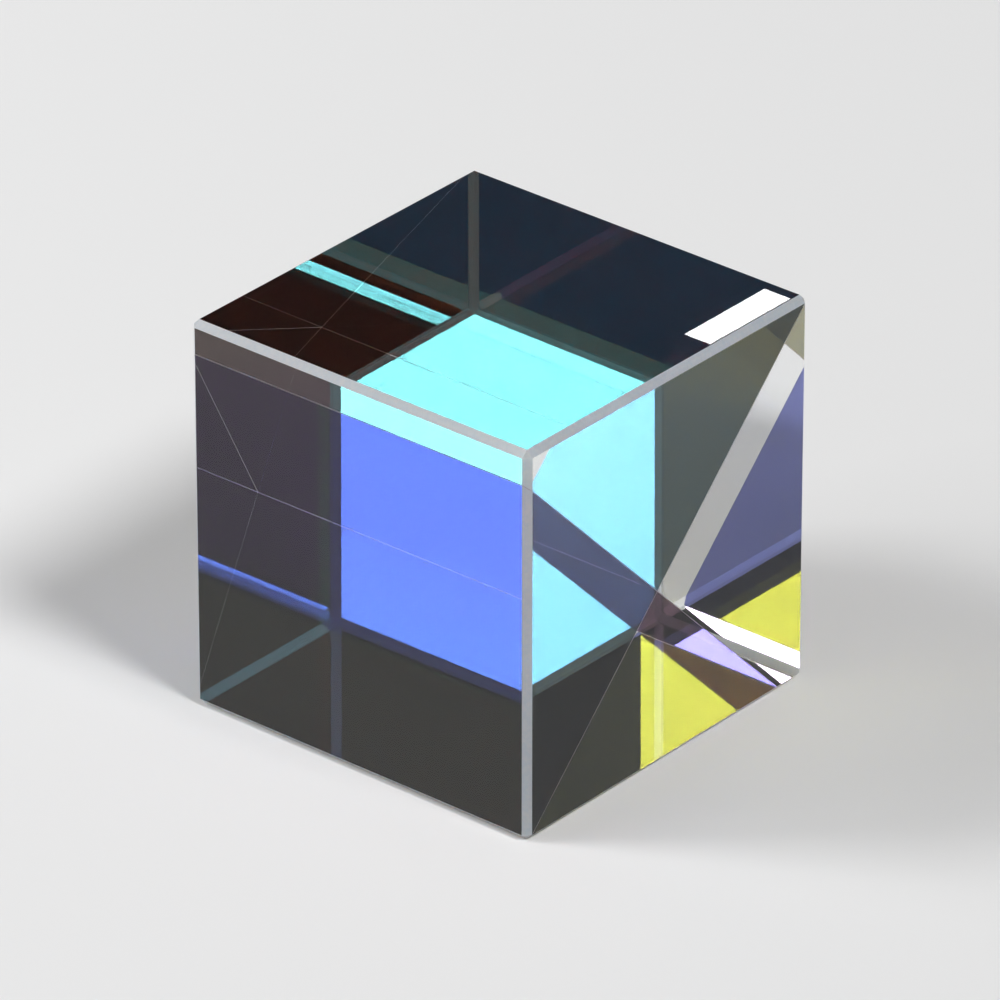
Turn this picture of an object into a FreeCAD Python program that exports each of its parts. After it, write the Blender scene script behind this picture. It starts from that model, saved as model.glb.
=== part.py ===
import FreeCAD, Part
import os

# Crossed dichroic prism: four right-angle glass prisms bonded round one line into a cube.
# One diagonal of the end faces carries a film that reflects red, the other a film that reflects blue.
# The blue-reflecting plane runs from the lower front edge to the upper rear edge, through the middle.
# The red-reflecting plane passes a little in front of the middle and beside the other two edges.
# +X runs along the prisms, +Y from the front face to the rear face, +Z up.
# The origin is the middle of the face that the block rests on. All sizes are in millimetres.

# Outer block. The prisms are right-angle ones with equal legs, so its end faces are square
block_length = 24.0
block_side = 24.0

# Leg of the ground bevel that runs along every outer edge, cut after the prisms are bonded
edge_bevel = 0.4

# How far below the top of the front face the red-reflecting plane comes out
red_seam_drop = 2.0

# Both films lean at half a right angle to the rest face
film_lean = 45.0

# Thickness of one dichroic film, and of one layer of optical cement
film_thickness = 0.01
bond_thickness = 0.03

X_AXIS = FreeCAD.Vector(1, 0, 0)


def bevelled_block():
    """The bonded block after grinding: a box with a small bevel along all of its edges."""
    corner = FreeCAD.Vector(-block_length / 2, -block_side / 2, 0)
    box = Part.makeBox(block_length, block_side, block_side, corner)
    return box.makeChamfer(edge_bevel, box.Edges)


# The films cross half of the seam's drop in front of the middle of the block, and as far below it.
# Every bonded face lies across one of two directions square to X:
# "over" points out of the red-reflecting plane, up and to the rear,
# and "up" points out of the blue-reflecting plane, up and to the front.
crossing = FreeCAD.Vector(0, -red_seam_drop / 2, (block_side - red_seam_drop) / 2)
film_frame = FreeCAD.Placement(crossing, FreeCAD.Rotation(X_AXIS, film_lean))

# The block's longest diagonal is shorter than this, so a slab that runs this far leaves the block
reach = block_length + 2 * block_side

# A joint across a plane is one film on the glass of its positive side, then cement on its negative side
BEYOND = (film_thickness, reach)
FILM = (0.0, film_thickness)
CEMENT = (-bond_thickness, 0.0)
BEFORE = (-reach, -bond_thickness)
FROM_LONG_BOND = (0.0, reach)
ALL = (-reach, reach)


def piece(over, up):
    """The part of the block between two distances over the red plane and up from the blue plane."""
    slab = Part.makeBox(block_length, over[1] - over[0], up[1] - up[0],
                        FreeCAD.Vector(-block_length / 2, over[0], up[0]))
    slab.Placement = film_frame.multiply(slab.Placement)
    return block.common(slab).removeSplitter()


block = bevelled_block()

pieces = {
    # The four prisms meet at the crossing and are named by the outer face that each one carries
    "upper_prism": piece(BEYOND, BEYOND),
    "rear_prism": piece(BEYOND, BEFORE),
    "front_prism": piece(BEFORE, BEYOND),
    "lower_prism": piece(BEFORE, BEFORE),
    # The red-reflecting film lies on one leg of the upper prism and one leg of the rear prism
    "red_film_upper": piece(FILM, BEYOND),
    "red_film_rear": piece(FILM, BEFORE),
    # The blue-reflecting film lies on the other leg of the upper prism and one leg of the front prism
    "blue_film_upper": piece(FROM_LONG_BOND, FILM),
    "blue_film_front": piece(BEFORE, FILM),
    # Two short bonds make two pairs of prisms, and the long bond joins the pairs
    "bond_upper_rear": piece(FROM_LONG_BOND, CEMENT),
    "bond_front_lower": piece(BEFORE, CEMENT),
    "bond_pairs": piece(CEMENT, ALL),
}

os.makedirs("parts", exist_ok=True)
for name, shape in pieces.items():
    shape.Solids[0].exportStep("parts/" + name + ".step")
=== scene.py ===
import math
import bmesh
import bpy
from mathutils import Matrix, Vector


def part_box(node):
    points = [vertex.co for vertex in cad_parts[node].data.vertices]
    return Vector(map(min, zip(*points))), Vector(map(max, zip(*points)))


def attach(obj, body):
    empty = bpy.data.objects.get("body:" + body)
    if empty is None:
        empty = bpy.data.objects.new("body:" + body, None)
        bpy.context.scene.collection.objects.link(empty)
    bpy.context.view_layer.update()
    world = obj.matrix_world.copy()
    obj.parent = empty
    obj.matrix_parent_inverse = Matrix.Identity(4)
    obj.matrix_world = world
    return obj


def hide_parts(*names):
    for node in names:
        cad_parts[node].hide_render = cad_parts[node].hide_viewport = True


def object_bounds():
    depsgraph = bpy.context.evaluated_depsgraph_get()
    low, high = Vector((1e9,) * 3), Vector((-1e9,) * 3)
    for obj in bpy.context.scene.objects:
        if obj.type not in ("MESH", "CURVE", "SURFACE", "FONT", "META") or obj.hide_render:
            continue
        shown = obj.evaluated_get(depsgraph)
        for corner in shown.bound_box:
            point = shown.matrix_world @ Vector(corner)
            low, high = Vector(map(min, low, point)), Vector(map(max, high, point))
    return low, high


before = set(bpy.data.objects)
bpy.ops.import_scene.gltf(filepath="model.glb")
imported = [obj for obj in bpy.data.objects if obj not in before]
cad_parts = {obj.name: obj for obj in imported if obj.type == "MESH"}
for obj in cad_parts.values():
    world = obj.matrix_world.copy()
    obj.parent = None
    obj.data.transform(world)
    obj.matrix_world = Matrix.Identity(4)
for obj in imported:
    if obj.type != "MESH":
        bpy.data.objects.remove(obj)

MM = 0.001
cad_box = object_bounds()
scene = bpy.context.scene

# The block, and the line where the two film planes cross, as the frame has them
low, high = Vector(cad_box[0]), Vector(cad_box[1])
size = high - low
middle = (low + high) / 2
crossing = Vector((0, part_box("red_film_upper")[1].y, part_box("blue_film_upper")[0].z))

# Directions square to the red-reflecting and the blue-reflecting plane
OVER = Vector((0, 1, 1)).normalized()
UP = Vector((0, -1, 1)).normalized()


def add_object(name, data):
    """A new object in the scene."""
    new = bpy.data.objects.new(name, data)
    scene.collection.objects.link(new)
    return new


def set_ramp(node, stops):
    """Gives a colour ramp its stops, each a position and a colour."""
    elements = node.color_ramp.elements
    elements.remove(elements[1])
    for count, (position, colour) in enumerate(stops):
        element = elements[0] if count == 0 else elements.new(position)
        element.position = position
        element.color = (*colour, 1)


# Materials

GLASS_INDEX = 1.517
GLASS_TINT = (0.985, 0.995, 0.99)

# A ground bevel: its grain, the tones that the grain runs between, and how its light divides
GRAIN_SIZE = 0.25 * MM
GRAIN_DEPTH = 0.02 * MM
GRAIN_TONES = ((0.3, (0.88, 0.93, 0.98)), (0.7, (0.97, 0.98, 1.0)))
BEVEL_ROUGHNESS = 0.42
BEVEL_CLEAR_ROUGHNESS = 0.15
BEVEL_CLEAR_SHARE = 0.15
BEVEL_THROUGH_SHARE = 0.6

# The edge of a film or of cement
SEAM_TINT = (0.62, 0.55, 0.60)
SEAM_ROUGHNESS = 0.5
SEAM_CLEARNESS = 0.8

# What each film sends back and lets through, by the angle of the light in the glass.
# The angle is in degrees, and 0 is square on
BLUE_FILM = {
    "sends back": ((35, (0.021, 0.080, 0.085)), (45, (0.06, 0.45, 0.85)), (56, (0.0075, 0.036, 0.058)),
                   (75, (0.15, 0.25, 0.35))),
    "lets through": ((28, (0.13, 0.035, 0.02)), (33, (0.05, 0.022, 0.05)), (45, (0.80, 0.72, 0.08)),
                     (56, (0.07, 0.06, 0.012)), (75, (0.30, 0.24, 0.07))),
}
RED_FILM = {
    "sends back": ((35, (0.28, 0.09, 0.03)), (45, (0.88, 0.16, 0.03)), (56, (0.04, 0.03, 0.003)),
                   (67, (0.06, 0.20, 0.02)), (74.5, (0.10, 0.13, 0.12)), (85, (0.20, 0.16, 0.22))),
    "lets through": ((35, (0.50, 0.38, 0.62)), (45, (0.06, 0.62, 0.80)), (56, (0.18, 0.22, 0.50)),
                     (67, (0.29, 0.15, 0.68)), (74.5, (0.95, 0.90, 0.90)), (85, (0.12, 0.06, 0.10))),
}


class Material:
    """A node material with an empty tree and its output node."""

    def __init__(self, name):
        self.material = bpy.data.materials.new(name)
        self.material.use_nodes = True
        self.tree = self.material.node_tree
        self.tree.nodes.clear()
        self.output = self.add("OutputMaterial")

    def add(self, kind, **values):
        node = self.tree.nodes.new("ShaderNode" + kind)
        for name, value in values.items():
            node.inputs[name.replace("_", " ")].default_value = value
        return node

    def link(self, source, target):
        self.tree.links.new(source, target)

    def surface(self, shader):
        self.link(shader, self.output.inputs["Surface"])


def glass_shader(m, colour, roughness, transmission):
    return m.add("BsdfPrincipled", Roughness=roughness, IOR=GLASS_INDEX, Base_Color=(*colour, 1),
                 Transmission_Weight=transmission)


def polished_glass():
    m = Material("polished_glass")
    m.surface(glass_shader(m, GLASS_TINT, 0.0, 1.0).outputs["BSDF"])
    return m.material


def ground_glass():
    """A finely ground face: pale, a little uneven, and lit through from both sides."""
    m = Material("ground_glass")
    place = m.add("NewGeometry")
    grain = m.add("TexNoise", Scale=1 / GRAIN_SIZE, Detail=4.0)
    m.link(place.outputs["Position"], grain.inputs["Vector"])
    tone = m.add("ValToRGB")
    set_ramp(tone, GRAIN_TONES)
    m.link(grain.outputs["Fac"], tone.inputs["Fac"])
    bump = m.add("Bump", Strength=0.35, Distance=GRAIN_DEPTH)
    m.link(grain.outputs["Fac"], bump.inputs["Height"])
    ground = m.add("BsdfPrincipled", Roughness=BEVEL_ROUGHNESS, IOR=GLASS_INDEX, Transmission_Weight=0.1)
    clear = m.add("BsdfRefraction", Roughness=BEVEL_CLEAR_ROUGHNESS, IOR=GLASS_INDEX)
    through = m.add("BsdfTranslucent")
    for shader, tinted in ((ground, "Base Color"), (through, "Color")):
        m.link(tone.outputs["Color"], shader.inputs[tinted])
    for shader in (ground, clear):
        m.link(bump.outputs["Normal"], shader.inputs["Normal"])
    face = m.add("MixShader", Fac=BEVEL_CLEAR_SHARE)
    m.link(ground.outputs["BSDF"], face.inputs[1])
    m.link(clear.outputs["BSDF"], face.inputs[2])
    both = m.add("MixShader", Fac=BEVEL_THROUGH_SHARE)
    m.link(face.outputs["Shader"], both.inputs[1])
    m.link(through.outputs["BSDF"], both.inputs[2])
    m.surface(both.outputs["Shader"])
    return m.material


def bonded_face():
    """A face in optical contact with its neighbour, which light crosses as if it weren't there."""
    m = Material("bonded_face")
    m.surface(m.add("BsdfTransparent").outputs["BSDF"])
    return m.material


def seam_edge():
    """The edge of a film or of cement where it comes out at the surface: a hair line."""
    m = Material("seam_edge")
    m.surface(glass_shader(m, SEAM_TINT, SEAM_ROUGHNESS, SEAM_CLEARNESS).outputs["BSDF"])
    return m.material


def film_coating(name, film):
    """A coated face, which divides light into two colours that change with its angle."""
    m = Material(name)
    angle = m.add("LayerWeight", Blend=0.5)

    def by_angle(stops):
        ramp = m.add("ValToRGB")
        set_ramp(ramp, [(1 - math.cos(math.radians(degrees)), colour) for degrees, colour in stops])
        m.link(angle.outputs["Facing"], ramp.inputs["Fac"])
        return ramp.outputs["Color"]

    mirror = m.add("BsdfAnisotropic", Roughness=0.0)
    clear = m.add("BsdfTransparent")
    both = m.add("AddShader")
    m.link(by_angle(film["sends back"]), mirror.inputs["Color"])
    m.link(by_angle(film["lets through"]), clear.inputs["Color"])
    m.link(mirror.outputs["BSDF"], both.inputs[0])
    m.link(clear.outputs["BSDF"], both.inputs[1])
    m.surface(both.outputs["Shader"])
    return m.material


POLISHED = polished_glass()
GROUND = ground_glass()
BONDED = bonded_face()
SEAM = seam_edge()
BLUE_COATING = film_coating("blue_reflecting_coating", BLUE_FILM)
RED_COATING = film_coating("red_reflecting_coating", RED_FILM)


# Pieces

# A face is square to a direction if the cosine between them is above this
SQUARE = 0.999

# A face of a prism, a film or cement along a bonded plane lies nearer to the plane than this
JOINT_REACH = 0.05 * MM

# Points closer than this are one, and faces that turn by less than this are one
SAME_POINT = 0.0001 * MM
FLAT_ANGLE = math.radians(1)


def is_bonded(face):
    """True on a face along one of the bonded planes. A bevel may lean as they do, but lies far off."""
    reach = face.calc_center_median() - crossing
    return any(abs(face.normal.dot(normal)) > SQUARE and abs(reach.dot(normal)) < JOINT_REACH
               for normal in (OVER, UP))


def is_bevel(face):
    return max(abs(c) for c in face.normal) < SQUARE and not is_bonded(face)


def dressed(node, name, materials, pick, reshape=None):
    """A piece with a CAD node's own form and one material for each kind of its faces."""
    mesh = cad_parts[node].data.copy()
    mesh.materials.clear()
    for material in materials:
        mesh.materials.append(material)
    bm = bmesh.new()
    bm.from_mesh(mesh)
    bmesh.ops.remove_doubles(bm, verts=bm.verts, dist=SAME_POINT)
    bmesh.ops.dissolve_limit(bm, angle_limit=FLAT_ANGLE, verts=bm.verts, edges=bm.edges)
    for face in bm.faces:
        face.material_index = materials.index(pick(face))
        face.smooth = False
    if reshape:
        reshape(bm)
    bm.to_mesh(mesh)
    bm.free()
    piece = add_object(name, mesh)
    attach(piece, "root")
    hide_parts(node)


def glass_face(face):
    return BONDED if is_bonded(face) else GROUND if is_bevel(face) else POLISHED


def cement_face(face):
    return BONDED if is_bonded(face) else SEAM


for side in ("upper", "rear", "front", "lower"):
    dressed(f"{side}_prism", f"{side}_prism_glass", [POLISHED, GROUND, BONDED], glass_face)

# A film keeps this share of its thickness and is this much shorter, so that no two faces share a place
FILM_SHARE = 0.6
FILM_INSET = 0.004 * MM


def film(node, coating, normal, slot):
    """A half film: a slab that is coated on its positive side alone."""
    def film_face(face):
        if not is_bonded(face):
            return SEAM
        return coating if face.normal.dot(normal) > SQUARE else BONDED

    def thinner(bm):
        depths = [(v.co - crossing).dot(normal) for v in bm.verts]
        centre = (min(depths) + max(depths)) / 2
        for vertex, depth in zip(bm.verts, depths):
            vertex.co -= normal * (depth - centre) * (1 - FILM_SHARE)
            vertex.co = middle + (vertex.co - middle) * (1 - FILM_INSET / size.x)

    dressed(node, node + "_coating", [coating, BONDED, SEAM], film_face, thinner)


film("red_film_upper", RED_COATING, OVER, "red_reflecting_film")
film("red_film_rear", RED_COATING, OVER, "red_reflecting_film")
film("blue_film_upper", BLUE_COATING, UP, "blue_reflecting_film")
film("blue_film_front", BLUE_COATING, UP, "blue_reflecting_film")

for bond in ("bond_upper_rear", "bond_front_lower", "bond_pairs"):
    dressed(bond, bond + "_cement", [BONDED, SEAM], cement_face)


# Floor

FLOOR_SIDE = 20.0
FLOOR_TONE = 0.78

# The lower face never touches the floor all over
AIR_GAP = 0.02 * MM

floor_mesh = bpy.data.meshes.new("floor")
bm = bmesh.new()
bmesh.ops.create_grid(bm, x_segments=1, y_segments=1, size=FLOOR_SIDE / 2)
bm.to_mesh(floor_mesh)
bm.free()
floor = add_object("floor", floor_mesh)
floor.location.z = low.z - AIR_GAP
paper = Material("floor_paper")
paper.surface(paper.add("BsdfDiffuse", Color=(FLOOR_TONE, FLOOR_TONE, FLOOR_TONE, 1)).outputs["BSDF"])
floor_mesh.materials.append(paper.material)


# Camera, at the photograph's angle

AZIMUTH, ELEVATION = math.radians(40.0), math.radians(28.7)

# From this far off, the picture spans this width at the block, on a sensor of this width in millimetres
DISTANCE = 25 * size.x
SPAN = 55 * MM
SENSOR = 36

view_from = Vector((math.sin(AZIMUTH) * math.cos(ELEVATION), -math.cos(AZIMUTH) * math.cos(ELEVATION),
                    math.sin(ELEVATION)))
lens = bpy.data.cameras.new("camera")
lens.sensor_width = SENSOR
lens.lens = SENSOR * DISTANCE / SPAN
camera = add_object("camera", lens)
camera.location = middle + view_from * DISTANCE
camera.rotation_euler = view_from.to_track_quat("Z", "Y").to_euler()
scene.camera = camera


# Lights

def panel(name, place, toward, width, height, radiance):
    """A rectangular lamp, which shines away from the direction that it is given."""
    lamp = bpy.data.lights.new(name, "AREA")
    lamp.shape = "RECTANGLE"
    lamp.size, lamp.size_y = width, height
    lamp.energy = radiance * width * height * math.pi
    light = add_object(name, lamp)
    light.location = place
    light.rotation_euler = toward.to_track_quat("Z", "Y").to_euler()


def softbox(name, toward, distance, width, height, radiance):
    """A panel that hangs in one direction from the block and faces it."""
    toward = Vector(toward).normalized()
    panel(name, middle + toward * distance, toward, width, height, radiance)


# The front-left softbox is what the blue-reflecting film shows the camera through the front faces
softbox("left_softbox", toward=(-0.585, -0.45, 0.675), distance=0.8, width=0.18, height=0.18, radiance=20.0)
# A low one beside it is what the bevels let through
softbox("low_softbox", toward=(-0.72, -0.65, 0.23), distance=0.8, width=0.6, height=0.3, radiance=7.4)
softbox("top_softbox", toward=(0, 0, 1), distance=1.2, width=0.7, height=0.7, radiance=0.6)

KEY_TOWARD = Vector((0.62, -0.05, 0.78))
key = bpy.data.lights.new("key", "SUN")
key.energy = 2.1
key.angle = math.radians(16)
key_light = add_object("key", key)
key_light.rotation_euler = KEY_TOWARD.to_track_quat("Z", "Y").to_euler()


def in_block(x=0.0, y=0.0, z=0.0):
    """The point at these shares of the block's length, depth and height."""
    return low + Vector((size.x * x, size.y * y, size.z * z))


def seen_lamp(name, entry, exit_point, leaving, distance, toward, width, height, radiance):
    """A panel that the camera sees by way of the block, where it fills the width and height given."""
    spread = 1 + distance / (entry - camera.location).length
    panel(name, exit_point + leaving * distance, toward, width * spread, height * spread, radiance)


def centre(shares):
    return sum(shares) / 2


def extent(shares):
    return shares[1] - shares[0]


# A small lamp behind, placed so that the top face mirrors it near its right corner, as in the photograph
GLINT_X, GLINT_Y = (0.905, 0.98), (0.665, 0.955)
glint = in_block(x=centre(GLINT_X), y=centre(GLINT_Y), z=1)
sight = (glint - camera.location).normalized()
seen_lamp("rear_lamp", glint, glint, Vector((sight.x, sight.y, -sight.z)), distance=0.5,
          toward=Vector((0, 0, 1)), width=size.x * extent(GLINT_X),
          height=size.y * extent(GLINT_Y), radiance=12)

# A thin lamp to the front right, which the blue-reflecting film shows as a cyan strip across the top face.
# Sight enters the top face there and leaves through the top of the front face. On its way the left end face
# turns it round along X, and the film swaps its Y for its Z.
STRIP_X, STRIP_Z = (0.0, 0.455), (0.8875, 0.9375)
STRIP_MIDDLE = in_block(x=0.229, y=0.37, z=1)
sight = (STRIP_MIDDLE - camera.location).normalized()
seen_lamp("strip_lamp", STRIP_MIDDLE, in_block(x=centre(STRIP_X), z=centre(STRIP_Z)),
          Vector((-sight.x, sight.z, sight.y)), distance=0.05, toward=Vector((0, -1, 0)),
          width=size.x * extent(STRIP_X), height=size.z * extent(STRIP_Z), radiance=13)

# The world is pale along the horizon and dim above, by the sine of the height
SKY = ((0.25, (0.5, 0.5, 0.5)), (0.38, (0.02, 0.02, 0.022)))
world = bpy.data.worlds.new("studio")
scene.world = world
world.use_nodes = True
sky = world.node_tree
direction = sky.nodes.new("ShaderNodeTexCoord")
height = sky.nodes.new("ShaderNodeSeparateXYZ")
fade = sky.nodes.new("ShaderNodeValToRGB")
set_ramp(fade, SKY)
sky.links.new(direction.outputs["Generated"], height.inputs["Vector"])
sky.links.new(height.outputs["Z"], fade.inputs["Fac"])
sky.links.new(fade.outputs["Color"], sky.nodes["Background"].inputs["Color"])

scene.view_settings.view_transform = "Standard"
# High enough for the softbox to keep its brightness behind both films
scene.cycles.sample_clamp_indirect = 20
# Sight crosses many faces inside the block
scene.cycles.max_bounces = 24
scene.cycles.glossy_bounces = 16
scene.cycles.transmission_bounces = 16
scene.cycles.transparent_max_bounces = 96
